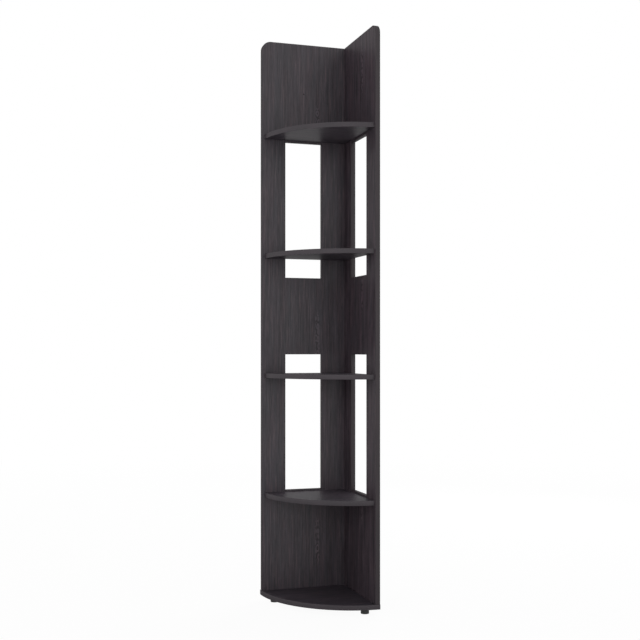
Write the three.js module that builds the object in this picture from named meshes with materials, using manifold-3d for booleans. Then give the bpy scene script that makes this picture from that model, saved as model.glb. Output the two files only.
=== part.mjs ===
import * as THREE from "three";
import { mergeVertices } from "three/addons/utils/BufferGeometryUtils.js";
import Module from "manifold-3d";

// A tall corner shelf unit. Two windowed back panels meet at a right angle on a quarter-round base,
// four quarter-round shelves are screwed between them, and three short feet carry the base.
// Millimetres, +Z up. The origin is on the floor, under the middle of the unit's box. The shelves'
// open side faces -X and -Y, and the two panels meet at +X and +Y.

// Driving dimensions
const boardThickness = 15;
const panelHeight = 1771;
const innerWidth = 282;
const stileWidth = 79;
const middleRailHeight = 249;
const windowShelfGap = 5.5;
const cornerRadius = 30;
const shelfClearance = 370;
const shelfCount = 4;
const shelfSetback = 9;
const baseOverhang = 2;
const bandThickness = 1;
const glueLine = 0.1;

// Feet
const footHeight = 18;
const footDiameter = 26;
const footInset = 36;
const footEdgeRound = 2;
const footBoreDiameter = 11;
const footWebHeight = 8;

// Assembly screws, with a countersunk head and a hexagonal socket
const screwLength = 50;
const screwDiameter = 5;
const screwHeadDiameter = 9;
const screwHeadHeight = 4;
const screwTipLength = 4;
const screwSocketWidth = 3.4;
const screwSocketDepth = 2.6;
const screwRecess = 0.4;
const screwBackInset = 45;
const screwFrontInset = 40;

// Foot screws, with a pan head
const footScrewDiameter = 4;
const footScrewHeadDiameter = 8;
const footScrewHeadHeight = 2.6;
const footScrewTipLength = 3;
const footScrewGripShare = 0.75;

// Wooden dowels
const dowelDiameter = 8;
const dowelLength = 30;
const dowelChamfer = 1.2;
const dowelFaceShare = 2 / 3;
const dowelSpacing = 40;

// Room round a screw or dowel in its hole, and how far a cutter runs past the face it starts from
const holeClearance = 0.2;
const overrun = 3;

// Facets
const roundSides = 10;
const footSides = 20;
const shelfArcSteps = 12;
const cornerArcSteps = 6;

// Places that follow from the sizes above. Lengths along a wall are counted from the outer back corner.
const panelFront = boardThickness + innerWidth;
const baseRadius = panelFront + baseOverhang;
const shelfRadius = panelFront - shelfSetback;
const baseBottom = footHeight;
const panelBottom = baseBottom + boardThickness;
const panelTop = panelBottom + panelHeight;
const panelMiddle = panelBottom + panelHeight / 2;
const shelfPitch = shelfClearance + boardThickness;
const shelvesHeight = (shelfCount - 1) * shelfPitch + boardThickness;
const firstShelfBottom = panelBottom + (panelHeight - shelvesHeight) / 2;
const lastShelfBottom = firstShelfBottom + shelvesHeight - boardThickness;
const bandSeat = bandThickness + glueLine;
const midBoard = boardThickness / 2;

const wasm = await Module();
wasm.setup();

// Turns a closed three.js geometry into a solid that can be cut.
function solid(geometry) {
  const bare = geometry.index ? geometry.toNonIndexed() : geometry.clone();
  bare.deleteAttribute("normal");
  bare.deleteAttribute("uv");
  const merged = mergeVertices(bare);
  return new wasm.Manifold(
    new wasm.Mesh({
      numProp: 3,
      vertProperties: new Float32Array(merged.attributes.position.array),
      triVerts: new Uint32Array(merged.index.array),
    }),
  );
}

// Turns a cut solid back into a three.js geometry.
function geometryOf(body) {
  const mesh = body.getMesh();
  const geometry = new THREE.BufferGeometry();
  geometry.setAttribute("position", new THREE.BufferAttribute(mesh.vertProperties, 3));
  geometry.setIndex(new THREE.BufferAttribute(mesh.triVerts, 1));
  geometry.computeVertexNormals();
  return geometry;
}

// Cuts every tool in the list out of a geometry.
function cut(geometry, tools) {
  let body = solid(geometry);
  for (const tool of tools) {
    body = body.subtract(solid(tool));
  }
  return geometryOf(body);
}

// Materials, one for each kind of finish
const laminate = new THREE.MeshStandardMaterial({ color: 0x3e383b, roughness: 0.42, metalness: 0 });
const edgeBand = new THREE.MeshStandardMaterial({ color: 0x454144, roughness: 0.4, metalness: 0 });
const footPlastic = new THREE.MeshStandardMaterial({ color: 0x3a3d3c, roughness: 0.55, metalness: 0 });
const zincSteel = new THREE.MeshStandardMaterial({ color: 0xb9babc, roughness: 0.35, metalness: 1 });
const beech = new THREE.MeshStandardMaterial({ color: 0xc49a6c, roughness: 0.7, metalness: 0 });

// The unit is drawn from its outer back corner: X runs along the left panel, Y along the right panel.
const unit = new THREE.Group();
unit.rotation.z = Math.PI;
unit.position.set(baseRadius / 2, baseRadius / 2, 0);

function add(name, geometry, material) {
  const mesh = new THREE.Mesh(geometry, material);
  mesh.name = name;
  unit.add(mesh);
  return mesh;
}

// A board or strip lying flat, with its underside at the given height
function lying(outline, bottom, arcSteps) {
  const geometry = new THREE.ExtrudeGeometry(outline, {
    depth: boardThickness,
    curveSegments: arcSteps,
    bevelEnabled: false,
  });
  geometry.translate(0, 0, bottom);
  return geometry;
}

// A board or strip standing on edge, with the outline's x along the wall and its y upwards
const alongLeftWall = new THREE.Matrix4().makeBasis(
  new THREE.Vector3(1, 0, 0),
  new THREE.Vector3(0, 0, 1),
  new THREE.Vector3(0, -1, 0),
);
const alongRightWall = new THREE.Matrix4().makeBasis(
  new THREE.Vector3(0, 1, 0),
  new THREE.Vector3(0, 0, 1),
  new THREE.Vector3(1, 0, 0),
);

function standing(outline, wall) {
  const geometry = new THREE.ExtrudeGeometry(outline, {
    depth: boardThickness,
    curveSegments: cornerArcSteps,
    bevelEnabled: false,
  });
  geometry.applyMatrix4(wall);
  if (wall === alongLeftWall) {
    geometry.translate(0, boardThickness, 0);
  }
  return geometry;
}

// A round solid turned about Y from a list of [radius, height] pairs, which starts and ends on the axis
function turned(profile, sides) {
  const points = profile.map(([radius, height]) => new THREE.Vector2(radius, height));
  return new THREE.LatheGeometry(points, sides);
}

// Screw, dowel and drill solids are made along +Y and then pointed into the board.
const pointings = {
  fromLeftWall: (geometry) => geometry,
  fromRightWall: (geometry) => geometry.rotateZ(-Math.PI / 2),
  upwards: (geometry) => geometry.rotateX(Math.PI / 2),
};

function placed(geometry, fixing) {
  const pointed = pointings[fixing.pointing](geometry);
  return pointed.translate(fixing.x, fixing.y, fixing.z);
}

// Fixings
//
// Each has a name, a place on the face it starts from, and the way it points.

function along(wall, length, height) {
  return wall === "left"
    ? { x: length, y: 0, z: height, pointing: "fromLeftWall" }
    : { x: 0, y: length, z: height, pointing: "fromRightWall" };
}

function underPanel(wall, length, height) {
  return wall === "left"
    ? { x: length, y: midBoard, z: height, pointing: "upwards" }
    : { x: midBoard, y: length, z: height, pointing: "upwards" };
}

const walls = ["left", "right"];
const screwStations = {
  back: boardThickness + screwBackInset,
  front: panelFront - screwFrontInset,
};
const dowelStations = {
  back: screwStations.back + dowelSpacing,
  front: screwStations.front - dowelSpacing,
};

const shelfScrews = [];
for (let shelf = 0; shelf < shelfCount; shelf++) {
  const height = firstShelfBottom + shelf * shelfPitch + midBoard;
  for (const wall of walls) {
    for (const [station, length] of Object.entries(screwStations)) {
      const name = `shelf_${shelf + 1}_${wall}_${station}_screw`;
      shelfScrews.push({ name, shelf, wall, ...along(wall, length, height) });
    }
  }
}

const baseScrews = [];
const baseDowels = [];
for (const wall of walls) {
  for (const [station, length] of Object.entries(screwStations)) {
    baseScrews.push({ name: `base_${wall}_${station}_screw`, wall, ...underPanel(wall, length, baseBottom) });
  }
  for (const [station, length] of Object.entries(dowelStations)) {
    const bottom = panelBottom - dowelLength * (1 - dowelFaceShare);
    baseDowels.push({ name: `base_${wall}_${station}_dowel`, wall, ...underPanel(wall, length, bottom) });
  }
}

// One screw in the middle of each bay, and one dowel at each shelf, join the two panels.
const cornerScrews = [];
for (let bay = 0; bay <= shelfCount; bay++) {
  const bayBottom = bay === 0 ? panelBottom : firstShelfBottom + (bay - 1) * shelfPitch + boardThickness;
  const bayTop = bay === shelfCount ? panelTop : firstShelfBottom + bay * shelfPitch;
  const place = along("right", midBoard, (bayBottom + bayTop) / 2);
  cornerScrews.push({ name: `corner_screw_${bay + 1}`, ...place });
}

const cornerDowels = [];
for (let shelf = 0; shelf < shelfCount; shelf++) {
  const place = along("right", midBoard, firstShelfBottom + shelf * shelfPitch + midBoard);
  place.x = boardThickness - dowelLength * (1 - dowelFaceShare);
  cornerDowels.push({ name: `corner_dowel_${shelf + 1}`, ...place });
}

// Assembly screw, and the stepped hole it needs

const screwRadius = screwDiameter / 2;
const screwHeadRadius = screwHeadDiameter / 2;
const screwHeadRim = screwHeadHeight / 4;

function screwGeometry() {
  const body = turned(
    [
      [0, screwRecess],
      [screwHeadRadius, screwRecess],
      [screwHeadRadius, screwRecess + screwHeadRim],
      [screwRadius, screwRecess + screwHeadHeight],
      [screwRadius, screwLength - screwTipLength],
      [0, screwLength],
    ],
    roundSides,
  );
  const socketRadius = screwSocketWidth / Math.sqrt(3);
  const socketDepth = screwSocketDepth + overrun;
  const socket = new THREE.CylinderGeometry(socketRadius, socketRadius, socketDepth, 6);
  socket.translate(0, screwRecess + screwSocketDepth - socketDepth / 2, 0);
  return cut(body, [socket]);
}

function screwHole() {
  const headHole = screwHeadRadius + holeClearance;
  const shankHole = screwRadius + holeClearance;
  return turned(
    [
      [0, -overrun],
      [headHole, -overrun],
      [headHole, screwRecess + screwHeadRim],
      [shankHole, screwRecess + screwHeadHeight],
      [shankHole, screwLength + holeClearance],
      [0, screwLength + holeClearance],
    ],
    roundSides,
  );
}

function dowelGeometry(room) {
  const radius = dowelDiameter / 2 + room;
  return turned(
    [
      [0, -room],
      [radius - dowelChamfer, -room],
      [radius, dowelChamfer - room],
      [radius, dowelLength - dowelChamfer + room],
      [radius - dowelChamfer, dowelLength + room],
      [0, dowelLength + room],
    ],
    roundSides,
  );
}

const screwCut = (fixing) => placed(screwHole(), fixing);
const dowelCut = (fixing) => placed(dowelGeometry(holeClearance), fixing);

for (const fixing of [...shelfScrews, ...baseScrews, ...cornerScrews]) {
  add(fixing.name, placed(screwGeometry(), fixing), zincSteel);
}
for (const fixing of [...baseDowels, ...cornerDowels]) {
  add(fixing.name, placed(dowelGeometry(0), fixing), beech);
}

// Feet, each a plastic glide screwed up into the base through its hollow underside

const footReach = Math.sqrt((baseRadius - footInset) ** 2 - footInset ** 2);
const footPlaces = {
  back: [footInset, footInset],
  left: [footReach, footInset],
  right: [footInset, footReach],
};
const footRadius = footDiameter / 2;
const footBoreRadius = footBoreDiameter / 2;
const footScrewRadius = footScrewDiameter / 2;
const footScrewHeadRadius = footScrewHeadDiameter / 2;
const footWebBottom = footHeight - footWebHeight;
const footScrewTop = footHeight + boardThickness * footScrewGripShare;

function footGeometry() {
  const hole = footScrewRadius + holeClearance;
  const roundSteps = 4;
  const profile = [
    [hole, footHeight],
    [hole, footWebBottom],
    [footBoreRadius, footWebBottom],
    [footBoreRadius, 0],
  ];
  for (let step = 0; step <= roundSteps; step++) {
    const angle = (step / roundSteps) * (Math.PI / 2);
    const radius = footRadius - footEdgeRound * (1 - Math.sin(angle));
    profile.push([radius, footEdgeRound * (1 - Math.cos(angle))]);
  }
  profile.push([footRadius, footHeight], [hole, footHeight]);
  return turned(profile, footSides).rotateX(Math.PI / 2);
}

function footScrewGeometry() {
  return turned(
    [
      [0, footWebBottom - footScrewHeadHeight],
      [footScrewHeadRadius / 2, footWebBottom - footScrewHeadHeight],
      [footScrewHeadRadius, footWebBottom - footScrewHeadHeight / 2],
      [footScrewHeadRadius, footWebBottom],
      [footScrewRadius, footWebBottom],
      [footScrewRadius, footScrewTop - footScrewTipLength],
      [0, footScrewTop],
    ],
    roundSides,
  ).rotateX(Math.PI / 2);
}

function footScrewHole() {
  const hole = footScrewRadius + holeClearance;
  return turned(
    [
      [0, baseBottom - overrun],
      [hole, baseBottom - overrun],
      [hole, footScrewTop + holeClearance],
      [0, footScrewTop + holeClearance],
    ],
    roundSides,
  ).rotateX(Math.PI / 2);
}

for (const [side, [x, y]] of Object.entries(footPlaces)) {
  add(`${side}_foot`, footGeometry().translate(x, y, 0), footPlastic);
  add(`${side}_foot_screw`, footScrewGeometry().translate(x, y, 0), zincSteel);
}

// Base board, a quarter disc about the outer back corner, with a strip round its curved edge

function quarterDisc(radius) {
  const outline = new THREE.Shape();
  outline.moveTo(0, 0);
  outline.lineTo(radius, 0);
  outline.absarc(0, 0, radius, 0, Math.PI / 2, false);
  outline.lineTo(0, 0);
  return outline;
}

// A strip between two arcs about the outer back corner, which ends square against the lines x = start and y = start
function arcStrip(outer, inner, start) {
  const outerTurn = Math.asin(start / outer);
  const innerTurn = Math.asin(start / inner);
  const outline = new THREE.Shape();
  outline.moveTo(outer * Math.cos(outerTurn), start);
  outline.absarc(0, 0, outer, outerTurn, Math.PI / 2 - outerTurn, false);
  outline.lineTo(start, inner * Math.cos(innerTurn));
  outline.absarc(0, 0, inner, Math.PI / 2 - innerTurn, innerTurn, true);
  outline.lineTo(outer * Math.cos(outerTurn), start);
  return outline;
}

const baseCuts = [
  ...baseScrews.map(screwCut),
  ...baseDowels.map(dowelCut),
  ...Object.values(footPlaces).map(([x, y]) => footScrewHole().translate(x, y, 0)),
];
const baseBlank = lying(quarterDisc(baseRadius - bandSeat), baseBottom, shelfArcSteps);
add("base_board", cut(baseBlank, baseCuts), laminate);
const baseStrip = arcStrip(baseRadius, baseRadius - bandThickness, 0);
add("base_edge_band", lying(baseStrip, baseBottom, shelfArcSteps), edgeBand);

// Shelves, each butted into the corner between the panels, with a strip round its curved front

function shelfOutline(radius) {
  const turn = Math.asin(boardThickness / radius);
  const reach = radius * Math.cos(turn);
  const outline = new THREE.Shape();
  outline.moveTo(boardThickness, boardThickness);
  outline.lineTo(reach, boardThickness);
  outline.absarc(0, 0, radius, turn, Math.PI / 2 - turn, false);
  outline.lineTo(boardThickness, boardThickness);
  return outline;
}

for (let shelf = 0; shelf < shelfCount; shelf++) {
  const bottom = firstShelfBottom + shelf * shelfPitch;
  const screws = shelfScrews.filter((fixing) => fixing.shelf === shelf);
  const blank = lying(shelfOutline(shelfRadius - bandSeat), bottom, shelfArcSteps);
  add(`shelf_${shelf + 1}`, cut(blank, screws.map(screwCut)), laminate);
  const strip = arcStrip(shelfRadius, shelfRadius - bandThickness, boardThickness);
  add(`shelf_${shelf + 1}_edge_band`, lying(strip, bottom, shelfArcSteps), edgeBand);
}

// Back panels. The left one butts against the inner face of the right one, so it is narrower by one board.

// The panel's outline with its front and top edges drawn in by an inset, and its top front corner rounded
function panelOutline(back, inset) {
  const front = panelFront - inset;
  const top = panelTop - inset;
  const centreAlong = panelFront - cornerRadius;
  const centreUp = panelTop - cornerRadius;
  const outline = new THREE.Shape();
  outline.moveTo(back, panelBottom);
  outline.lineTo(front, panelBottom);
  outline.lineTo(front, centreUp);
  outline.absarc(centreAlong, centreUp, cornerRadius - inset, 0, Math.PI / 2, false);
  outline.lineTo(back, top);
  outline.lineTo(back, panelBottom);
  return outline;
}

// The strip that runs up the panel's front edge, round its top corner and back along its top edge
function panelStrip(back) {
  const centreAlong = panelFront - cornerRadius;
  const centreUp = panelTop - cornerRadius;
  const outline = new THREE.Shape();
  outline.moveTo(panelFront - bandThickness, panelBottom);
  outline.lineTo(panelFront, panelBottom);
  outline.lineTo(panelFront, centreUp);
  outline.absarc(centreAlong, centreUp, cornerRadius, 0, Math.PI / 2, false);
  outline.lineTo(back, panelTop);
  outline.lineTo(back, panelTop - bandThickness);
  outline.lineTo(centreAlong, panelTop - bandThickness);
  outline.absarc(centreAlong, centreUp, cornerRadius - bandThickness, Math.PI / 2, 0, true);
  outline.lineTo(panelFront - bandThickness, panelBottom);
  return outline;
}

function rectangle(PathClass, left, right, bottom, top) {
  const path = new PathClass();
  path.moveTo(left, bottom);
  path.lineTo(right, bottom);
  path.lineTo(right, top);
  path.lineTo(left, top);
  path.lineTo(left, bottom);
  return path;
}

// The two windows of a panel run from its middle rail almost to the lowest and to the highest shelf,
// between its two stiles.
const windows = {
  lower: {
    bottom: firstShelfBottom + boardThickness + windowShelfGap,
    top: panelMiddle - middleRailHeight / 2,
  },
  upper: {
    bottom: panelMiddle + middleRailHeight / 2,
    top: lastShelfBottom - windowShelfGap,
  },
};

function windowPath(PathClass, back, { bottom, top }, margin) {
  return rectangle(
    PathClass,
    back + stileWidth - margin,
    panelFront - stileWidth + margin,
    bottom - margin,
    top + margin,
  );
}

const panels = {
  left: { wall: alongLeftWall, back: boardThickness },
  right: { wall: alongRightWall, back: 0 },
};

for (const [side, { wall, back }] of Object.entries(panels)) {
  const outline = panelOutline(back, bandSeat);
  for (const window of Object.values(windows)) {
    outline.holes.push(windowPath(THREE.Path, back, window, bandSeat));
  }
  const ownScrews = [...shelfScrews, ...baseScrews].filter((fixing) => fixing.wall === side);
  const ownDowels = baseDowels.filter((fixing) => fixing.wall === side);
  const cuts = [
    ...[...ownScrews, ...cornerScrews].map(screwCut),
    ...[...ownDowels, ...cornerDowels].map(dowelCut),
  ];
  add(`${side}_back_panel`, cut(standing(outline, wall), cuts), laminate);
  add(`${side}_panel_edge_band`, standing(panelStrip(back), wall), edgeBand);
  for (const [level, window] of Object.entries(windows)) {
    const ring = windowPath(THREE.Shape, back, window, bandThickness);
    ring.holes.push(windowPath(THREE.Path, back, window, 0));
    add(`${side}_${level}_window_band`, standing(ring, wall), edgeBand);
  }
}

const cornerShelfUnit = new THREE.Group();
cornerShelfUnit.add(unit);

export default cornerShelfUnit;
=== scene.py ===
import math

import bmesh
import bpy
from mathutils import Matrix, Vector


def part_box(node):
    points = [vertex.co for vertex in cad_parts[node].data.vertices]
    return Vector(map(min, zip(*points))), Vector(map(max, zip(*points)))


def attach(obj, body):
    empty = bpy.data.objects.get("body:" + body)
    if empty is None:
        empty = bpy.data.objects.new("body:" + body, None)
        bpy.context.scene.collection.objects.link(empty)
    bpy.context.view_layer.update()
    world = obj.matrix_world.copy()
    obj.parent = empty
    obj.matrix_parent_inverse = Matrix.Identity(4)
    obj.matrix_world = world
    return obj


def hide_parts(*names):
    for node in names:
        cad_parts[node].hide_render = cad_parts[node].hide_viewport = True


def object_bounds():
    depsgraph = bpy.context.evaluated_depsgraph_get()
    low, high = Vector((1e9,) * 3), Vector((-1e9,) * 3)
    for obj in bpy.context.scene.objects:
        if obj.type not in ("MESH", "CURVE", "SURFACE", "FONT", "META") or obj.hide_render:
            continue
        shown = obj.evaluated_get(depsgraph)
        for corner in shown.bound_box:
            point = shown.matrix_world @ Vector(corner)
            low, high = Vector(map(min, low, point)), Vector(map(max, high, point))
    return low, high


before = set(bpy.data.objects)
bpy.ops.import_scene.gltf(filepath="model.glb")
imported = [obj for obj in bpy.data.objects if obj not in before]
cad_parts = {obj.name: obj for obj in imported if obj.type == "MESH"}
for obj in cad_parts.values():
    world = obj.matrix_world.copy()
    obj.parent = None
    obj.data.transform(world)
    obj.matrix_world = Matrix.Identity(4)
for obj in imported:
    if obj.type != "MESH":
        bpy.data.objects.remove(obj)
cad_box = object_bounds()
bpy.ops.object.select_all(action="DESELECT")

# Feet. Three short glides moulded from dark grey polypropylene, with a slight draft, a rounded rim and
# a bore underneath that keeps the screw's head clear of the floor. Each stands under the base board.

mm = 0.001
foot_sides = ("back", "left", "right")
foot_draft_share = 0.99
foot_bore_radius = 5.5 * mm
foot_web_height = 8 * mm
foot_hole_radius = 2.2 * mm
foot_rim_round = 0.5 * mm
foot_bore_round = 0.6 * mm
foot_top_round = 0.4 * mm
foot_facets = 64
round_steps = 3
small_round_steps = 2
smooth_angle = math.radians(32)

# How squarely a face must point to count as flat, how close a point must lie to count as on a place, and
# from what share of a radius it counts as on the rim
flat_on = 0.9
exactly = 0.02 * mm
about = 0.1 * mm
rim_share = 0.9


def only(piece):
    """Makes one piece the selected and active one."""
    bpy.ops.object.select_all(action="DESELECT")
    piece.select_set(True)
    bpy.context.view_layer.objects.active = piece


def name_it(piece, name):
    piece.name = piece.data.name = name
    return piece


def settle(piece):
    """Puts a piece's place, turn and scale into its mesh, so that its object sits at the origin."""
    only(piece)
    bpy.ops.object.transform_apply(location=True, rotation=True, scale=True)
    return piece


def open_edit(piece, kind="FACE"):
    only(piece)
    bpy.ops.object.mode_set(mode="EDIT")
    bpy.ops.mesh.select_mode(type=kind)
    bpy.ops.mesh.select_all(action="DESELECT")


def close_edit():
    bpy.ops.object.mode_set(mode="OBJECT")


def pick_faces(piece, wanted):
    """Selects, in edit mode, the faces whose centre and normal pass a test."""
    bpy.ops.mesh.select_mode(type="FACE")
    mesh = bmesh.from_edit_mesh(piece.data)
    for face in mesh.faces:
        face.select_set(wanted(face.calc_center_median(), face.normal))
    mesh.select_flush_mode()
    bmesh.update_edit_mesh(piece.data)


def pick_edges(piece, wanted):
    """Selects, in edit mode, the edges whose two ends both pass a test."""
    bpy.ops.mesh.select_mode(type="EDGE")
    mesh = bmesh.from_edit_mesh(piece.data)
    for edge in mesh.edges:
        edge.select_set(all(wanted(end.co) for end in edge.verts))
    mesh.select_flush_mode()
    bmesh.update_edit_mesh(piece.data)


def pick_lower_end(piece):
    pick_faces(piece, lambda at, facing: facing.z < -flat_on)


def pick_upper_end(piece):
    pick_faces(piece, lambda at, facing: facing.z > flat_on)


def near(value, place, room=exactly):
    return abs(value - place) < room


def extrude(move):
    bpy.ops.mesh.extrude_region_move(TRANSFORM_OT_translate={"value": move})


def bevel_picked(width, segments):
    bpy.ops.mesh.bevel(offset=width, segments=segments, affect="EDGES", clamp_overlap=False)


def smooth(piece):
    only(piece)
    bpy.ops.object.shade_smooth_by_angle(angle=smooth_angle)
    return piece


def round_bar(name, radius, bottom, top, facets):
    """A plain upright cylinder about the Z axis between two heights."""
    bpy.ops.mesh.primitive_cylinder_add(
        vertices=facets, radius=radius, depth=top - bottom, location=(0, 0, (bottom + top) / 2)
    )
    return settle(name_it(bpy.context.object, name))


def copy_of(piece, name):
    """A copy with a mesh of its own."""
    only(piece)
    bpy.ops.object.duplicate(linked=False)
    return name_it(bpy.context.object, name)


def remove(piece):
    only(piece)
    bpy.ops.object.delete()


def lower_middle(node):
    """The middle of a CAD node's lower end."""
    low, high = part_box(node)
    return Vector(((low.x + high.x) / 2, (low.y + high.y) / 2, low.z))


def stands_for(piece, node):
    """The piece is fixed to the unit and takes the place of a CAD node."""
    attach(piece, "root")
    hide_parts(node)


def new_finish(name, colour, roughness):
    """A material with its plain values on the shader itself. Gives back its node tree and shader."""
    material = bpy.data.materials.new(name)
    material.use_nodes = True
    tree = material.node_tree
    shader = tree.nodes["Principled BSDF"]
    shader.inputs["Base Color"].default_value = (*colour, 1)
    shader.inputs["Roughness"].default_value = roughness
    return material, tree, shader


def new_node(tree, kind, inputs=(), **settings):
    """Adds a node with its settings. Each pair in inputs sets a socket to a value or wires it to another."""
    node = tree.nodes.new(kind)
    for setting, value in settings.items():
        setattr(node, setting, value)
    for socket, value in inputs:
        if isinstance(value, bpy.types.NodeSocket):
            tree.links.new(value, node.inputs[socket])
        else:
            node.inputs[socket].default_value = value
    return node


def calculate(tree, operation, *values):
    """One step of arithmetic on sockets and numbers."""
    return new_node(tree, "ShaderNodeMath", enumerate(values), operation=operation).outputs[0]


def own_place(tree):
    """The piece's own coordinates, in metres."""
    return new_node(tree, "ShaderNodeTexCoord").outputs["Object"]


def stretched(tree, place, factors):
    inputs = [(0, place), (1, factors)]
    return new_node(tree, "ShaderNodeVectorMath", inputs, operation="MULTIPLY").outputs["Vector"]


def noise(tree, place, per_metre, detail=2.0, distortion=0.0):
    """Noise with a size of its own along each axis, given as how many patches fit in a metre."""
    inputs = [("Vector", stretched(tree, place, per_metre)), ("Scale", 1.0)]
    inputs += [("Detail", detail), ("Distortion", distortion)]
    return new_node(tree, "ShaderNodeTexNoise", inputs).outputs["Fac"]


def sum_of(tree, *layers):
    """Adds up layers of noise, each given as a socket and its weight, round a middle value of a half."""
    total = 0.5 - sum(weight for _, weight in layers) / 2
    for socket, weight in layers:
        total = calculate(tree, "MULTIPLY_ADD", socket, weight, total)
    return total


def spread(tree, value, low, high, bottom=0.0, top=1.0):
    """Stretches the part of a value between low and high to run from bottom to top."""
    inputs = [("Value", value), ("From Min", low), ("From Max", high), ("To Min", bottom), ("To Max", top)]
    return new_node(tree, "ShaderNodeMapRange", inputs).outputs["Result"]


def blend_colours(tree, share, first, second):
    inputs = [(0, share)]
    for index, colour in ((6, first), (7, second)):
        inputs.append((index, colour if isinstance(colour, bpy.types.NodeSocket) else (*colour, 1)))
    return new_node(tree, "ShaderNodeMix", inputs, data_type="RGBA").outputs[2]


def colour_with(tree, shader, colour):
    tree.links.new(colour, shader.inputs["Base Color"])


def roughen(tree, shader, pattern, smoothest, roughest, low=0.3, high=0.7):
    """Lets the roughness follow a pattern, whose values mostly lie between low and high."""
    tree.links.new(spread(tree, pattern, low, high, smoothest, roughest), shader.inputs["Roughness"])


def emboss(tree, shader, pattern, depth):
    """Gives the surface a relief of that depth in metres."""
    inputs = [("Height", pattern), ("Distance", depth), ("Strength", 1.0)]
    tree.links.new(new_node(tree, "ShaderNodeBump", inputs).outputs["Normal"], shader.inputs["Normal"])


def moulded_plastic(name):
    """Dark grey plastic with a fine spark-eroded skin and faint flow marks."""
    dark, light = (0.037, 0.039, 0.038), (0.052, 0.054, 0.053)
    material, tree, shader = new_finish(name, dark, roughness=0.5)
    place = own_place(tree)
    skin = noise(tree, place, (2600, 2600, 2600), detail=3.0)
    flow = noise(tree, place, (120, 120, 320), detail=3.0, distortion=0.6)
    tone = sum_of(tree, (skin, 0.5), (flow, 1.2))
    colour_with(tree, shader, blend_colours(tree, tone, dark, light))
    roughen(tree, shader, skin, smoothest=0.44, roughest=0.6)
    emboss(tree, shader, skin, depth=0.03 * mm)
    return material


foot_low, foot_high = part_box("left_foot")
foot_radius = (foot_high.x - foot_low.x) / 2
foot_height = foot_high.z - foot_low.z

glide = round_bar("glide_pattern", foot_radius, 0, foot_height, foot_facets)
open_edit(glide)
pick_lower_end(glide)
bpy.ops.transform.resize(value=(foot_draft_share, foot_draft_share, 1))
bpy.ops.mesh.inset(thickness=foot_radius * foot_draft_share - foot_bore_radius)
extrude((0, 0, foot_height - foot_web_height))
bpy.ops.mesh.inset(thickness=foot_bore_radius - foot_hole_radius)
pick_upper_end(glide)
bpy.ops.mesh.inset(thickness=foot_radius - foot_hole_radius)
pick_faces(glide, lambda at, facing: abs(facing.z) > flat_on and at.xy.length < about)
bpy.ops.mesh.bridge_edge_loops()
pick_edges(glide, lambda end: near(end.z, 0) and end.xy.length > foot_radius * rim_share)
bevel_picked(foot_rim_round, round_steps)
pick_edges(glide, lambda end: near(end.z, 0) and near(end.xy.length, foot_bore_radius, about))
bevel_picked(foot_bore_round, round_steps)
pick_edges(glide, lambda end: near(end.z, foot_height) and end.xy.length > foot_radius * rim_share)
bevel_picked(foot_top_round, small_round_steps)
close_edit()
smooth(glide).data.materials.append(moulded_plastic("foot_plastic"))

for side in foot_sides:
    foot = copy_of(glide, f"{side}_glide")
    foot.location = lower_middle(f"{side}_foot")
    stands_for(settle(foot), f"{side}_foot")
remove(glide)

# Foot screws. Zinc-plated steel, with a domed head and a cross recess. One goes up through each foot,
# with its head seated on the foot's web, and grips most of the base board's thickness.

foot_screw_radius = 2 * mm
foot_screw_head_radius = 4 * mm
foot_screw_head_height = 2.6 * mm
foot_screw_dome_share = 0.6
foot_screw_dome_steps = 5
foot_screw_tip_length = 3 * mm
foot_screw_tip_share = 0.12
cross_width = 0.9 * mm
cross_length = 4.6 * mm
cross_depth = 1.5 * mm
cross_start = -1 * mm
screw_facets = 32
upright_within = 0.1


def split_at(height):
    """Draws a line round the open piece at a height."""
    bpy.ops.mesh.select_all(action="SELECT")
    bpy.ops.mesh.bisect(plane_co=(0, 0, height), plane_no=(0, 0, 1))


def cut_out(piece, cutter):
    """Takes the cutter's shape out of a piece, and the cutter with it."""
    only(piece)
    bpy.ops.object.modifier_add(type="BOOLEAN")
    cut = piece.modifiers[-1]
    cut.operation = "DIFFERENCE"
    cut.solver = "EXACT"
    cut.object = cutter
    bpy.ops.object.modifier_apply(modifier=cut.name)
    remove(cutter)


def block(name, low, high):
    """A box between two corners."""
    bpy.ops.mesh.primitive_cube_add(size=1, location=(Vector(low) + Vector(high)) / 2)
    piece = name_it(bpy.context.object, name)
    piece.scale = Vector(high) - Vector(low)
    return settle(piece)


def zinc_plate(name):
    """Bright zinc on steel, with the soft mottling and fine scratches of barrel plating."""
    bright, dull = (0.60, 0.61, 0.63), (0.44, 0.45, 0.48)
    material, tree, shader = new_finish(name, bright, roughness=0.32)
    shader.inputs["Metallic"].default_value = 1
    place = own_place(tree)
    mottle = noise(tree, place, (420, 420, 420), detail=3.0, distortion=0.4)
    scratches = noise(tree, place, (3000, 3000, 300))
    tone = sum_of(tree, (mottle, 1.6), (scratches, 0.6))
    colour_with(tree, shader, blend_colours(tree, tone, dull, bright))
    roughen(tree, shader, mottle, smoothest=0.24, roughest=0.42)
    emboss(tree, shader, scratches, depth=0.01 * mm)
    return material


zinc = zinc_plate("screw_zinc")
screw_low, screw_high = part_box("left_foot_screw")
foot_screw_length = screw_high.z - screw_low.z

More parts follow.
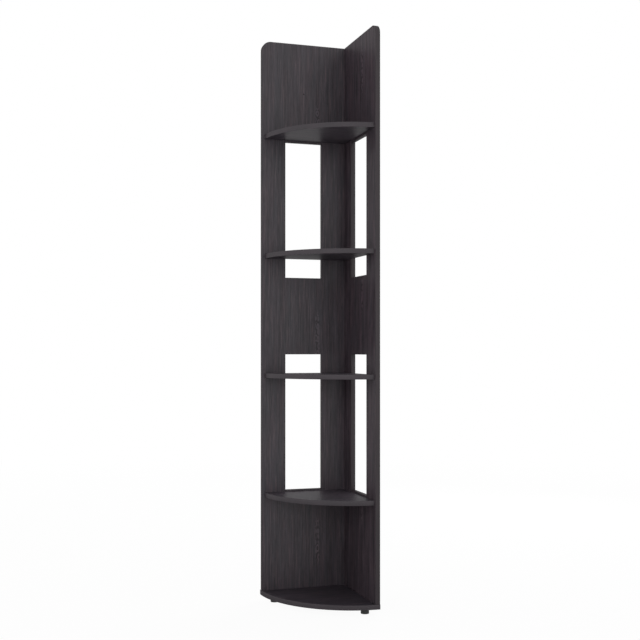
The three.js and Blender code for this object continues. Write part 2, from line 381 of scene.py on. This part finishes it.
pan_screw = round_bar("pan_screw_pattern", foot_screw_radius, 0, foot_screw_length, screw_facets)
open_edit(pan_screw)
split_at(foot_screw_head_height)
split_at(foot_screw_length - foot_screw_tip_length)
pick_upper_end(pan_screw)
bpy.ops.transform.resize(value=(foot_screw_tip_share, foot_screw_tip_share, 1))
pick_faces(
    pan_screw,
    lambda at, facing: abs(facing.z) < upright_within and at.z < foot_screw_head_height,
)
bpy.ops.mesh.extrude_region_shrink_fatten(
    TRANSFORM_OT_shrink_fatten={"value": foot_screw_head_radius - foot_screw_radius}
)
pick_edges(
    pan_screw,
    lambda end: near(end.z, 0) and end.xy.length > foot_screw_head_radius * rim_share,
)
bevel_picked(foot_screw_head_height * foot_screw_dome_share, foot_screw_dome_steps)
close_edit()
for across, along in ((cross_width, cross_length), (cross_length, cross_width)):
    slot_low = (-across / 2, -along / 2, cross_start)
    slot_high = (across / 2, along / 2, cross_depth)
    cut_out(pan_screw, block("cross_cutter", slot_low, slot_high))
smooth(pan_screw).data.materials.append(zinc)

for side in foot_sides:
    screw = copy_of(pan_screw, f"{side}_pan_screw")
    screw.location = lower_middle(f"{side}_foot_screw")
    stands_for(settle(screw), f"{side}_foot_screw")
remove(pan_screw)

# Assembly screws. Countersunk zinc-plated steel with a hexagonal socket, driven from the outer faces
# through one board into the edge of the next, with the head just below the surface.

screw_radius = 2.5 * mm
screw_head_radius = 4.5 * mm
screw_head_height = 4 * mm
screw_head_rim = 1 * mm
screw_head_edge_round = 0.25 * mm
screw_recess = 0.4 * mm
screw_tip_length = 4 * mm
screw_tip_share = 0.1
socket_radius = 1.96 * mm
socket_depth = 2.6 * mm
socket_sides = 6
hole_room = 0.2 * mm
overrun = 3 * mm


def countersunk(name, length, radius, head_radius, face):
    """A round bar along Z with a countersunk head at its lower end, whose face lies at that height."""
    piece = round_bar(name, radius, screw_recess + screw_head_height, length, screw_facets)
    open_edit(piece)
    pick_lower_end(piece)
    extrude((0, 0, screw_head_rim - screw_head_height))
    wider = head_radius / radius
    bpy.ops.transform.resize(value=(wider, wider, 1))
    extrude((0, 0, face - screw_recess - screw_head_rim))
    close_edit()
    return piece


screw_low, screw_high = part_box("base_left_back_screw")
screw_length = screw_high.z - screw_low.z + screw_recess
flat_screw = countersunk(
    "flat_screw_pattern", screw_length, screw_radius, screw_head_radius, screw_recess
)
open_edit(flat_screw)
split_at(screw_length - screw_tip_length)
pick_upper_end(flat_screw)
bpy.ops.transform.resize(value=(screw_tip_share, screw_tip_share, 1))
pick_edges(
    flat_screw,
    lambda end: near(end.z, screw_recess) and end.xy.length > screw_head_radius * rim_share,
)
bevel_picked(screw_head_edge_round, small_round_steps)
close_edit()
socket_start, socket_end = screw_recess - overrun, screw_recess + socket_depth
cut_out(flat_screw, round_bar("socket_cutter", socket_radius, socket_start, socket_end, socket_sides))
smooth(flat_screw).data.materials.append(zinc)

screw_hole = countersunk(
    "screw_hole_pattern",
    screw_length + hole_room,
    screw_radius + hole_room,
    screw_head_radius + hole_room,
    -overrun,
)

# Each pointing is the turn that carries a screw from +Z to the way it is driven
pointings = {
    "left": (math.pi / 2, 0, 0),
    "right": (0, -math.pi / 2, 0),
    "up": (0, 0, 0),
}
outer_corner = Vector((cad_box[1].x, cad_box[1].y, 0))
base_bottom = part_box("base_board")[0].z


def driven_from(node):
    """The way a fixing is driven, and its starting place on the outer face it is driven from."""
    low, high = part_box(node)
    middle = (low + high) / 2
    if node.startswith("base"):
        return "up", Vector((middle.x, middle.y, base_bottom))
    if "_left_" in node:
        return "left", Vector((middle.x, outer_corner.y, middle.z))
    return "right", Vector((outer_corner.x, middle.y, middle.z))


def placed(piece, pointing, place):
    piece.rotation_euler = pointings[pointing]
    piece.location = place
    return settle(piece)


screw_nodes = sorted(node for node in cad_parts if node.endswith("_screw") and "foot" not in node)
screw_nodes += sorted(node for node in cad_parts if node.startswith("corner_screw"))
for node in screw_nodes:
    driven = placed(copy_of(flat_screw, node.replace("screw", "socket_screw")), *driven_from(node))
    stands_for(driven, node)
remove(flat_screw)

# Dowels. Plain turned beech with chamfered ends, glued half into each of two boards at the base and
# along the corner joint. They stay as the frame has them and get their wood.

dowel_chamfer = 1.2 * mm
chamfer_steps = 1


def turned_beech(name):
    """Pale beech with fine growth lines and the short dark flecks of its rays."""
    pale, deep = (0.62, 0.40, 0.22), (0.47, 0.27, 0.13)
    material, tree, shader = new_finish(name, pale, roughness=0.62)
    place = own_place(tree)
    lines = noise(tree, place, (1100, 1100, 90), detail=3.0)
    flecks = spread(tree, noise(tree, place, (1500, 2600, 420), detail=1.0), low=0.58, high=0.7)
    tone = sum_of(tree, (lines, 1.8), (flecks, 0.5))
    colour_with(tree, shader, blend_colours(tree, tone, pale, deep))
    roughen(tree, shader, lines, smoothest=0.55, roughest=0.72)
    emboss(tree, shader, lines, depth=0.04 * mm)
    return material


beech = turned_beech("dowel_beech")
for node in sorted(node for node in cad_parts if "dowel" in node):
    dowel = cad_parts[node]
    dowel.data.materials.clear()
    dowel.data.materials.append(beech)

dowel_low, dowel_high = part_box("base_left_back_dowel")
dowel_length = dowel_high.z - dowel_low.z
dowel_hole_radius = (dowel_high.x - dowel_low.x) / 2 + hole_room
dowel_hole_ends = (-hole_room, dowel_length + hole_room)
dowel_hole = round_bar("dowel_hole_pattern", dowel_hole_radius, *dowel_hole_ends, screw_facets)
open_edit(dowel_hole, "EDGE")
for end_height in dowel_hole_ends:
    pick_edges(dowel_hole, lambda end: near(end.z, end_height))
    bevel_picked(dowel_chamfer, chamfer_steps)
close_edit()


def join(pieces, name):
    bpy.ops.object.select_all(action="DESELECT")
    for piece in pieces:
        piece.select_set(True)
    bpy.context.view_layer.objects.active = pieces[0]
    bpy.ops.object.join()
    return name_it(pieces[0], name)


def drill(board, nodes):
    """Drills a board for every screw and dowel in the list."""
    cutters = []
    for node in nodes:
        if "dowel" not in node:
            hole = placed(copy_of(screw_hole, "hole"), *driven_from(node))
        elif node.startswith("base"):
            hole = placed(copy_of(dowel_hole, "hole"), "up", lower_middle(node))
        else:
            low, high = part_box(node)
            start = Vector((high.x, (low.y + high.y) / 2, (low.z + high.z) / 2))
            hole = placed(copy_of(dowel_hole, "hole"), "right", start)
        cutters.append(hole)
    cut_out(board, join(cutters, "holes"))


# Base board. A quarter disc of 15 mm particle board faced above and below with woodgrain foil, cut
# about the unit's outer back corner. It carries both panels, and its two straight edges stay raw.

arc_steps = 60
board_arris = 0.15 * mm
merge_room = 0.001 * mm
flat_angle = math.radians(0.5)
sharp_angle = math.radians(40)

# How deep a board's foiled skin reaches, and how squarely a face in it must point to be foiled
skin_depth = 0.3 * mm
leaning_on = 0.3


def swept_quarter(name, node, inner, outer):
    """An upright strip between two radii, swept a quarter turn about the unit's outer back corner."""
    low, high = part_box(node)
    bpy.ops.mesh.primitive_plane_add(size=1, rotation=(math.pi / 2, 0, 0))
    piece = name_it(bpy.context.object, name)
    piece.scale = (outer - inner, high.z - low.z, 1)
    piece.location = (outer_corner.x - (inner + outer) / 2, outer_corner.y, (low.z + high.z) / 2)
    settle(piece)
    open_edit(piece)
    bpy.ops.mesh.select_all(action="SELECT")
    bpy.ops.mesh.spin(steps=arc_steps, angle=-math.pi / 2, center=outer_corner, axis=(0, 0, 1))
    bpy.ops.mesh.select_all(action="SELECT")
    bpy.ops.mesh.remove_doubles(threshold=merge_room)
    # Where the strip starts at the corner, the fan of triangles above and the one below become one face
    if inner == 0:
        bpy.ops.mesh.dissolve_limited(angle_limit=flat_angle)
    bpy.ops.mesh.normals_make_consistent(inside=False)
    close_edit()
    return piece


def modify(piece, kind, **settings):
    """Adds a modifier with these settings and applies it."""
    only(piece)
    bpy.ops.object.modifier_add(type=kind)
    modifier = piece.modifiers[-1]
    for setting, value in settings.items():
        setattr(modifier, setting, value)
    bpy.ops.object.modifier_apply(modifier=modifier.name)


def ease_edges(board):
    """Breaks a board's sharp arrises."""
    modify(
        board,
        "BEVEL",
        width=board_arris,
        segments=chamfer_steps,
        limit_method="ANGLE",
        angle_limit=sharp_angle,
    )


def part_of(tree, place, axis):
    return new_node(tree, "ShaderNodeSeparateXYZ", [(0, place)]).outputs[axis]


def turned_place(tree, turn, shift=(0, 0, 0)):
    """The piece's own coordinates, turned until Z runs along the grain, and shifted."""
    inputs = [("Vector", own_place(tree)), ("Rotation", turn), ("Location", shift)]
    return new_node(tree, "ShaderNodeMapping", inputs).outputs["Vector"]


def shaded(tree, colour, tone):
    """A colour made darker or lighter by a tone round one."""
    inputs = [(0, 1.0), (6, colour), (7, tone)]
    return new_node(tree, "ShaderNodeMix", inputs, data_type="RGBA", blend_type="MULTIPLY").outputs[2]


def between(tree, value, low, high, soft):
    """One between low and high, falling to nothing outside them."""
    rise = spread(tree, value, low - soft, low + soft)
    fall = spread(tree, value, high - soft, high + soft, 1.0, 0.0)
    return calculate(tree, "MULTIPLY", rise, fall)


# Small knots stand in one column, over one share of each length after which the real print repeats
print_repeat = 675 * mm
knots_from, knots_to = 0.175, 0.37
knots_soft = 0.02
knot_width = 11 * mm
knot_spacing = 21 * mm
knot_fade_from, knot_fade_to = 0.3, 0.8
knot_rings = 12.0
knot_sway = 0.5
knot_dark_share = 0.5
knot_weight = 1.9


def knots(tree, place, column):
    """The rings of the small knots, one above the other, round a middle value of a half."""
    centred = new_node(tree, "ShaderNodeVectorMath", [(0, place), (1, (-column, 0, 0))], operation="ADD")
    cells = stretched(tree, centred.outputs["Vector"], (1 / knot_width, 0, 1 / knot_spacing))
    inputs = [("Vector", cells), ("Scale", 1.0), ("Randomness", 0.6)]
    from_heart = new_node(tree, "ShaderNodeTexVoronoi", inputs).outputs["Distance"]
    wavy = noise(tree, place, (60, 60, 24), detail=1.0)
    swirl = calculate(tree, "MULTIPLY_ADD", wavy, knot_sway, from_heart)
    rings = calculate(tree, "SINE", calculate(tree, "MULTIPLY", swirl, knot_rings))
    rings = spread(tree, rings, -1.0, 1.0, -knot_dark_share, 1.0)
    off_column = calculate(tree, "ABSOLUTE", part_of(tree, cells, "X"))
    on_column = spread(tree, off_column, knot_fade_from, knot_fade_to, 1.0, 0.0)
    repeats = calculate(tree, "DIVIDE", part_of(tree, place, "Z"), print_repeat)
    cluster = between(tree, calculate(tree, "FRACT", repeats), knots_from, knots_to, knots_soft)
    rings = calculate(tree, "MULTIPLY", rings, calculate(tree, "MULTIPLY", on_column, cluster))
    return calculate(tree, "MULTIPLY_ADD", rings, 0.5, 0.5)


def lacquer(shader, share):
    """A thin clear lacquer, which mirrors a little of the light about evenly from all sides."""
    shader.inputs["Specular IOR Level"].default_value = 0
    shader.inputs["Coat Weight"].default_value = share
    shader.inputs["Coat IOR"].default_value = 2.5
    shader.inputs["Coat Roughness"].default_value = 0.42


foil_tone = 1.24
thread_share = 0.7
stripe_tone = 0.88
stripe_soft = 3 * mm


def woodgrain_foil(name, turn, shift, hues, sheen, contrast=0.7, ribbing=0.3, knot_column=None, stripe=None):
    """Dark purple-brown woodgrain foil, whose ground runs between two hues, with pink threads in it.

    turn lays the grain along the board, shift moves the print, and sheen is the lacquer's share. contrast
    is how far its tones run, ribbing the strength of its broad ribs, knot_column the place of its knots
    across the board, and stripe the two edges of a darker stripe.
    """
    cool, warm = hues
    pink = (0.0540, 0.0385, 0.0425)
    material, tree, shader = new_finish(name, cool, roughness=0.45)
    lacquer(shader, sheen)
    place = turned_place(tree, turn, shift)
    bands = noise(tree, place, (24, 24, 1.1))
    tints = noise(tree, place, (70, 70, 9))
    ribs = noise(tree, place, (90, 90, 4))
    streaks = noise(tree, place, (250, 250, 8), detail=3.0)
    threads = spread(tree, noise(tree, place, (330, 330, 14)), low=0.52, high=0.72)
    fibres = noise(tree, place, (560, 560, 40), detail=3.0)
    pores = spread(tree, noise(tree, place, (1500, 1500, 60), detail=1.0), low=0.56, high=0.70)
    hue = sum_of(tree, (bands, 0.8), (tints, 2.4))
    ground = blend_colours(tree, hue, cool, warm)
    ground = blend_colours(tree, spread(tree, threads, 0.0, 1.0, top=thread_share), ground, pink)
    layers = [(bands, 0.3), (ribs, ribbing), (streaks, 1.2), (threads, 0.35), (fibres, 0.7), (pores, -0.12)]
    if knot_column is not None:
        layers.append((knots(tree, place, knot_column), knot_weight))
    tone = spread(tree, sum_of(tree, *layers), 0.0, 1.0, foil_tone - contrast, foil_tone + contrast)
    # The colour is made an eighth darker in an upright stripe across the board
    if stripe is not None:
        inside = between(tree, part_of(tree, place, "X"), *stripe, stripe_soft)
        tone = calculate(tree, "MULTIPLY", tone, spread(tree, inside, 0.0, 1.0, 1.0, stripe_tone))
    colour_with(tree, shader, shaded(tree, ground, tone))
    rough = sum_of(tree, (fibres, 0.5), (pores, 0.3))
    roughen(tree, shader, rough, smoothest=0.38, roughest=0.52, low=0.0, high=1.0)
    emboss(tree, shader, sum_of(tree, (fibres, 0.4), (pores, -1.0)), depth=0.01 * mm)
    return material


def raw_particle_board(name):
    """Pressed wood chips of mixed browns, seen where a board's edge has no strip."""
    pale, deep = (0.30, 0.19, 0.105), (0.13, 0.075, 0.038)
    chips_per_metre = 620.0
    material, tree, shader = new_finish(name, pale, roughness=0.85)
    place = own_place(tree)
    inputs = [("Vector", place), ("Scale", chips_per_metre), ("Randomness", 1.0)]
    chips = new_node(tree, "ShaderNodeTexVoronoi", inputs).outputs["Color"]
    chip_tone = new_node(tree, "ShaderNodeSeparateColor", [(0, chips)]).outputs["Red"]
    dust = noise(tree, place, (1600, 1600, 1600), detail=3.0)
    tone = sum_of(tree, (chip_tone, 0.8), (dust, 1.0))
    colour_with(tree, shader, blend_colours(tree, tone, pale, deep))
    emboss(tree, shader, tone, depth=0.12 * mm)
    return material


particle_board = raw_particle_board("raw_particle_board")


def face_with(board, foil, on_face):
    """Lays foil on the faces that the test names, and leaves the board's other faces raw."""
    board.data.materials.clear()
    board.data.materials.append(particle_board)
    board.data.materials.append(foil)
    open_edit(board)
    pick_faces(board, on_face)
    board.active_material_index = 1
    bpy.ops.object.material_slot_assign()
    close_edit()


def flat_of(low, high):
    """A test for the upper and lower faces of a board that lies between two heights."""
    return lambda at, facing: abs(facing.z) > leaning_on and (
        at.z < low + skin_depth or at.z > high - skin_depth
    )


base_low, base_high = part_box("base_board")
base_radius = outer_corner.x - base_low.x
base = swept_quarter("base_quarter_board", "base_board", 0, base_radius)
ease_edges(base)
drill(base, sorted(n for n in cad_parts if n.startswith("base_") and n.endswith(("_screw", "_dowel"))))
for side in foot_sides:
    low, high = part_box(f"{side}_foot_screw")
    hole = round_bar("foot_screw_hole", foot_hole_radius, 0, high.z - low.z + hole_room, screw_facets)
    cut_out(base, placed(hole, "up", lower_middle(f"{side}_foot_screw")))
grain_along_left = (math.pi / 2, math.pi / 2, 0)
flat_foil = woodgrain_foil(
    "foil_of_shelves",
    turn=grain_along_left,
    shift=(0.31, 0, 0.2),
    hues=((0.0308, 0.0273, 0.0343), (0.0348, 0.0273, 0.0349)),
    sheen=0.28,
)
face_with(base, flat_foil, flat_of(base_low.z, base_high.z))
stands_for(smooth(base), "base_board")

# Shelves. Four quarter-round boards of the same foiled particle board, butted into the corner between
# the panels and held by four screws each. One is cut and drilled, and the others are copies of it.

panel_face = Vector((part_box("right_back_panel")[0].x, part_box("left_back_panel")[0].y, 0))
board_thickness = outer_corner.x - panel_face.x
shelf_count = sum(node.startswith("shelf_") and node.endswith("_edge_band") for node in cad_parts)
shelf_low, shelf_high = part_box("shelf_1")
shelf_reach = panel_face.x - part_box("shelf_1_edge_band")[0].x
shelf_radius = math.hypot(shelf_reach + board_thickness, board_thickness)
seam = base_low.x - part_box("base_edge_band")[0].x


def trim_to_panels(piece):
    """Cuts a piece off flush with the inner faces of the two panels."""
    open_edit(piece)
    for direction in ((1, 0, 0), (0, 1, 0)):
        bpy.ops.mesh.select_all(action="SELECT")
        bpy.ops.mesh.bisect(
            plane_co=panel_face, plane_no=direction, use_fill=True, clear_outer=True, clear_inner=False
        )
    close_edit()


def repeat_at_shelves(pattern, name, node_ending):
    """Copies what belongs to the lowest shelf to every shelf, and takes the pattern away."""
    for number in range(1, shelf_count + 1):
        piece = copy_of(pattern, f"{name}_{number}")
        piece.location.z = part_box(f"shelf_{number}")[0].z - shelf_low.z
        stands_for(settle(piece), f"shelf_{number}{node_ending}")
    remove(pattern)


shelf_pattern = swept_quarter("shelf_pattern", "shelf_1", 0, shelf_radius - seam)
trim_to_panels(shelf_pattern)
ease_edges(shelf_pattern)
drill(shelf_pattern, sorted(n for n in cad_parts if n.startswith("shelf_1_") and n.endswith("_screw")))
face_with(shelf_pattern, flat_foil, flat_of(shelf_low.z, shelf_high.z))
smooth(shelf_pattern)
repeat_at_shelves(shelf_pattern, "shelf_board", "")

# Curved edge strips. Thin melamine strip in the foil's colour, glued round the front of the base and of
# each shelf, and trimmed with softly rounded arrises.

strip_thickness = 1 * mm
strip_round = 0.4 * mm


def edge_strip_finish(name, turn, hues, sheen):
    """Plain dark strip under the same lacquer as the foil, with a trace of grain along it."""
    cool, warm = hues
    darkest, lightest = 0.7, 1.3
    material, tree, shader = new_finish(name, cool, roughness=0.42)
    lacquer(shader, sheen)
    place = turned_place(tree, turn)
    cloud = noise(tree, place, (24, 24, 7), detail=3.0)
    grain = noise(tree, place, (900, 900, 22))
    skin = noise(tree, place, (2400, 2400, 2400))
    ground = blend_colours(tree, sum_of(tree, (cloud, 2.0)), cool, warm)
    tone = spread(tree, sum_of(tree, (cloud, 0.9), (grain, 0.9)), 0.0, 1.0, darkest, lightest)
    colour_with(tree, shader, shaded(tree, ground, tone))
    rough = sum_of(tree, (grain, 1.0), (skin, 0.6))
    roughen(tree, shader, rough, smoothest=0.40, roughest=0.5, low=0.2, high=0.8)
    emboss(tree, shader, skin, depth=0.012 * mm)
    return material


def curved_strip(name, node, radius, low, high):
    """A strip round a curved front, with its upper and lower front arrises rounded."""
    piece = swept_quarter(name, node, radius - strip_thickness, radius)
    if node.startswith("shelf"):
        trim_to_panels(piece)
    open_edit(piece, "EDGE")
    for height in (low, high):
        pick_edges(
            piece,
            lambda end: near(end.z, height) and near((end - outer_corner).xy.length, radius, about),
        )
        bevel_picked(strip_round, round_steps)
    close_edit()
    smooth(piece).data.materials.append(strip_lying)
    return piece


strip_lying = edge_strip_finish(
    "strip_lying",
    turn=grain_along_left,
    hues=((0.0420, 0.0358, 0.0420), (0.0452, 0.0358, 0.0426)),
    sheen=0.19,
)
strip_low, strip_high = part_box("base_edge_band")
base_strip_radius = outer_corner.x - strip_low.x
base_strip = curved_strip("base_edge_strip", "base_edge_band", base_strip_radius, strip_low.z, strip_high.z)
stands_for(base_strip, "base_edge_band")

strip_pattern = curved_strip(
    "shelf_strip_pattern", "shelf_1_edge_band", shelf_radius, shelf_low.z, shelf_high.z
)
repeat_at_shelves(strip_pattern, "shelf_edge_strip", "_edge_band")

# Back panels. Two tall foiled boards with the grain upright, each with a rounded top front corner, two
# windows and, high in its middle, a small hole for a wall screw, whose wall has the dark foil as painted
# shade. The left one butts against the right one's inner face, screwed and dowelled.

corner_radius = 30 * mm
corner_steps = 16
wall_hole_radius = 2 * mm
wall_hole_below_top = 160 * mm
panel_sheen = 0.19

# The axis each panel runs along and the one it is thick across, and then how its foil is cut: the turn
# and shift of the print, its two hues, the strength of its ribs and tones and its knots, and last the
# two edges of an upright stripe where its colour is made darker
panels = {
    "left": {
        "run": 0,
        "thick": 1,
        "turn": (0, 0, 0),
        "shift": (0, 0, 0),
        # Its hues are lighter and greyer than the right panel's, and this is partly painted sheen
        "hues": ((0.0378, 0.0345, 0.0409), (0.0440, 0.0345, 0.0415)),
        "ribbing": 0.3,
        "contrast": 0.64,
        "knot_column": 40.3 * mm,
        "stripe": (70 * mm, 97 * mm),
    },
    "right": {
        "run": 1,
        "thick": 0,
        "turn": (0, 0, math.pi / 2),
        "shift": (0, 0.4, 1.2025),
        "hues": ((0.0366, 0.0307, 0.0375), (0.0430, 0.0307, 0.0383)),
        "ribbing": 1.1,
        "contrast": 0.78,
        "knot_column": 30.4 * mm,
        "stripe": None,
    },
}


def rounded_block(name, low, high, run, radius):
    """A block whose top front corner is rounded, the front being the low end of its run."""
    piece = block(name, low, high)
    open_edit(piece, "EDGE")
    pick_edges(piece, lambda end: near(end[run], low[run]) and near(end.z, high.z))
    bevel_picked(radius, corner_steps)
    close_edit()
    return piece


def open_window(piece, low, high, run, thick):
    """Cuts the board's faces along a window's four sides and bridges the two faces between them."""
    up = 2
    open_edit(piece)
    for axis, place in ((run, low[run]), (run, high[run]), (up, low.z), (up, high.z)):
        plane = Vector((0, 0, 0))
        plane[axis] = place
        direction = Vector((0, 0, 0))
        direction[axis] = 1
        bpy.ops.mesh.select_all(action="SELECT")
        bpy.ops.mesh.bisect(plane_co=plane, plane_no=direction)
    pick_faces(
        piece,
        lambda at, facing: abs(facing[thick]) > flat_on
        and low[run] < at[run] < high[run]
        and low.z < at.z < high.z,
    )
    bpy.ops.mesh.bridge_edge_loops()
    close_edit()


for side, panel in panels.items():
    node = f"{side}_back_panel"
    run, thick = panel["run"], panel["thick"]
    low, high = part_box(node)
    board = rounded_block(f"{side}_panel_board", low, high, run, corner_radius - seam)
    for level in ("lower", "upper"):
        window_low, window_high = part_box(f"{side}_{level}_window_band")
        glue = Vector((seam - strip_thickness,) * 3)
        open_window(board, window_low - glue, window_high + glue, run, thick)
    ease_edges(board)
    own = [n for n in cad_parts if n.startswith(("shelf_", "base_")) and f"_{side}_" in n]
    shared = [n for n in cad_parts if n.startswith(("corner_screw", "corner_dowel"))]
    drill(board, sorted(own + shared))
    wall_hole = outer_corner.copy()
    wall_hole[run] = (low[run] + panel_face[run]) / 2
    wall_hole.z = high.z - wall_hole_below_top
    bit = round_bar("wall_hole_bit", wall_hole_radius, -overrun, board_thickness + overrun, screw_facets)
    cut_out(board, placed(bit, side, wall_hole))
    foil = woodgrain_foil(
        f"foil_of_{side}_panel",
        turn=panel["turn"],
        shift=panel["shift"],
        hues=panel["hues"],
        sheen=panel_sheen,
        contrast=panel["contrast"],
        ribbing=panel["ribbing"],
        knot_column=panel["knot_column"],
        stripe=panel["stripe"],
    )

    def is_foil_or_painted_shade(at, facing):
        """True on the board's two foiled faces, and on the wall of the hole for the wall screw, which gets
        the dark foil as painted shade.
        """
        outside = at[thick] < low[thick] + skin_depth or at[thick] > high[thick] - skin_depth
        from_hole = math.hypot(at[run] - wall_hole[run], at.z - wall_hole.z)
        return (outside and abs(facing[thick]) > leaning_on) or from_hole < wall_hole_radius

    face_with(board, foil, is_foil_or_painted_shade)
    stands_for(smooth(board), node)

# Panel edge strips. One length of the same strip runs up each panel's front edge, round its top corner
# and back along the top, and four short lengths line each window. Their colour is about half as light as
# on the lying strips, as painted shade.

strip_upright_painted_shade = edge_strip_finish(
    "strip_upright_painted_shade",
    turn=(0, 0, 0),
    hues=((0.0245, 0.0186, 0.0227), (0.0270, 0.0186, 0.0227)),
    sheen=0.21,
)

for side, panel in panels.items():
    node = f"{side}_panel_edge_band"
    run, thick = panel["run"], panel["thick"]
    low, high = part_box(node)
    strip = rounded_block(f"{side}_panel_strip", low, high, run, corner_radius)
    open_edit(strip)
    pick_faces(
        strip,
        lambda at, facing: abs(facing[thick]) > flat_on or facing.z < -flat_on or facing[run] > flat_on,
    )
    bpy.ops.mesh.delete(type="FACE")
    close_edit()
    modify(strip, "SOLIDIFY", thickness=strip_thickness, offset=-1, use_even_offset=True)
    corner = Vector((0, 0, high.z - corner_radius))
    corner[run] = low[run] + corner_radius

    def on_outside(end):
        """True on the strip's outer outline: its front, its top and the round between them."""
        if end.z > corner.z and end[run] < corner[run]:
            return near(math.hypot(end.z - corner.z, end[run] - corner[run]), corner_radius, about)
        return near(end[run], low[run], about) or near(end.z, high.z, about)

    open_edit(strip, "EDGE")
    for face in (low[thick], high[thick]):
        pick_edges(strip, lambda end: near(end[thick], face) and on_outside(end))
        bevel_picked(strip_round, round_steps)
    close_edit()
    smooth(strip).data.materials.append(strip_upright_painted_shade)
    stands_for(strip, node)

    for level in ("lower", "upper"):
        node = f"{side}_{level}_window_band"
        low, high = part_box(node)
        inward = Vector((strip_thickness,) * 3)
        inward[thick] = 0
        open_low, open_high = low + inward, high - inward
        lining = block(f"{side}_{level}_window_strip", open_low, open_high)
        open_edit(lining)
        pick_faces(lining, lambda at, facing: abs(facing[thick]) > flat_on)
        bpy.ops.mesh.delete(type="FACE")
        close_edit()
        modify(lining, "SOLIDIFY", thickness=strip_thickness, offset=1, use_even_offset=True)

        def on_opening(end):
            """True on the lining's inner outline."""
            beside = near(end[run], open_low[run]) or near(end[run], open_high[run])
            above = near(end.z, open_low.z) or near(end.z, open_high.z)
            across = open_low[run] - about < end[run] < open_high[run] + about
            upright = open_low.z - about < end.z < open_high.z + about
            return (beside or above) and across and upright

        open_edit(lining, "EDGE")
        for face in (low[thick], high[thick]):
            pick_edges(lining, lambda end: near(end[thick], face) and on_opening(end))
            bevel_picked(strip_round, round_steps)
        close_edit()
        smooth(lining).data.materials.append(strip_upright_painted_shade)
        stands_for(lining, node)

remove(screw_hole)
remove(dowel_hole)

# Floor. A wide pale studio floor that turns into the white surround away from the unit, and keeps the
# unit's soft shadow near it. In reflections its glow is about half as bright near the unit as far off,
# as painted shade.

floor_size = 60
shadow_reach, fade_reach = 0.6, 4.5
near_whiteness = 0.95
reflection_shade_near_unit = 0.55

bpy.ops.mesh.primitive_plane_add(size=floor_size)
floor = name_it(bpy.context.object, "studio_floor")
floor_paint, tree, shader = new_finish("studio_floor_paint", (0.8, 0.8, 0.8), roughness=0.9)
shader.inputs["Specular IOR Level"].default_value = 0
rays = new_node(tree, "ShaderNodeLightPath").outputs
away = new_node(tree, "ShaderNodeVectorMath", [(0, own_place(tree))], operation="LENGTH").outputs["Value"]
mirrored = calculate(tree, "ADD", rays["Is Glossy Ray"], rays["Is Transmission Ray"])
whiteness = spread(tree, away, shadow_reach, fade_reach, near_whiteness, 1.0)
share = calculate(tree, "MULTIPLY_ADD", rays["Is Camera Ray"], whiteness, mirrored)
# Painted shade: as reflections see it, the floor's glow falls to about half near the unit
painted_floor_shade = spread(tree, away, shadow_reach, fade_reach, -reflection_shade_near_unit, 0.0)
strength = calculate(tree, "MULTIPLY_ADD", mirrored, painted_floor_shade, 1.0)
glow = new_node(tree, "ShaderNodeEmission", [("Strength", strength)]).outputs[0]
mixed = new_node(tree, "ShaderNodeMixShader", [(0, share), (1, shader.outputs[0]), (2, glow)])
tree.links.new(mixed.outputs[0], tree.nodes["Material Output"].inputs["Surface"])
floor.data.materials.append(floor_paint)

# Light. An even white surround and three soft disk lamps, one in front, one on the left and one behind,
# which no reflection shows.

surround_light = 0.68
world = bpy.data.worlds.new("white_surround")
bpy.context.scene.world = world
world.use_nodes = True
tree = world.node_tree
tree.nodes.clear()
rays = new_node(tree, "ShaderNodeLightPath").outputs
shown = calculate(tree, "ADD", rays["Is Camera Ray"], rays["Is Glossy Ray"])
shown = calculate(tree, "ADD", shown, rays["Is Transmission Ray"])
strength = spread(tree, shown, 0.0, 1.0, surround_light, 1.0)
backdrop = new_node(tree, "ShaderNodeBackground", [("Color", (1, 1, 1, 1)), ("Strength", strength)])
new_node(tree, "ShaderNodeOutputWorld", [("Surface", backdrop.outputs[0])])

# Each lamp has a place and a size in metres and a power in watts
lamp_aim = Vector((0, 0, 1.0))
for name, place, size, power in (
    ("lamp_in_front", (-0.9, -3.4, 1.2), 1.5, 11.6),
    ("lamp_on_the_left", (-2.4, -2.4, 1.6), 1.8, 14.5),
    ("lamp_behind", (1.9, 1.9, 1.6), 2.0, 45),
):
    aim = (lamp_aim - Vector(place)).to_track_quat("-Z", "Y").to_euler()
    bpy.ops.object.light_add(type="AREA", location=place, rotation=aim)
    lamp = bpy.context.object
    lamp.name = name
    lamp.data.shape = "DISK"
    lamp.data.size = size
    lamp.data.energy = power
    lamp.visible_glossy = False

# Camera. It stands level, 3.2 m from the unit and as high as a table top, and sees the left panel nearly
# face on. Its frame is shifted a little, until the unit falls where the photograph has it.

picture_side = 640
focal_pixels = 1027.17
middle_column, horizon_row = 306.72, 348.52
eye = Vector((-1.0088, -3.0648, 0.81305))
turned_right = math.radians(17.565)
sensor_width = 36

bpy.ops.object.camera_add(location=eye, rotation=(math.pi / 2, 0, -turned_right))
camera = bpy.context.object
camera.name = "camera"
camera.data.sensor_width = sensor_width
camera.data.lens = focal_pixels / picture_side * sensor_width
camera.data.shift_x = (picture_side / 2 - middle_column) / picture_side
camera.data.shift_y = (horizon_row - picture_side / 2) / picture_side
bpy.context.scene.camera = camera
bpy.context.scene.view_settings.view_transform = "Standard"
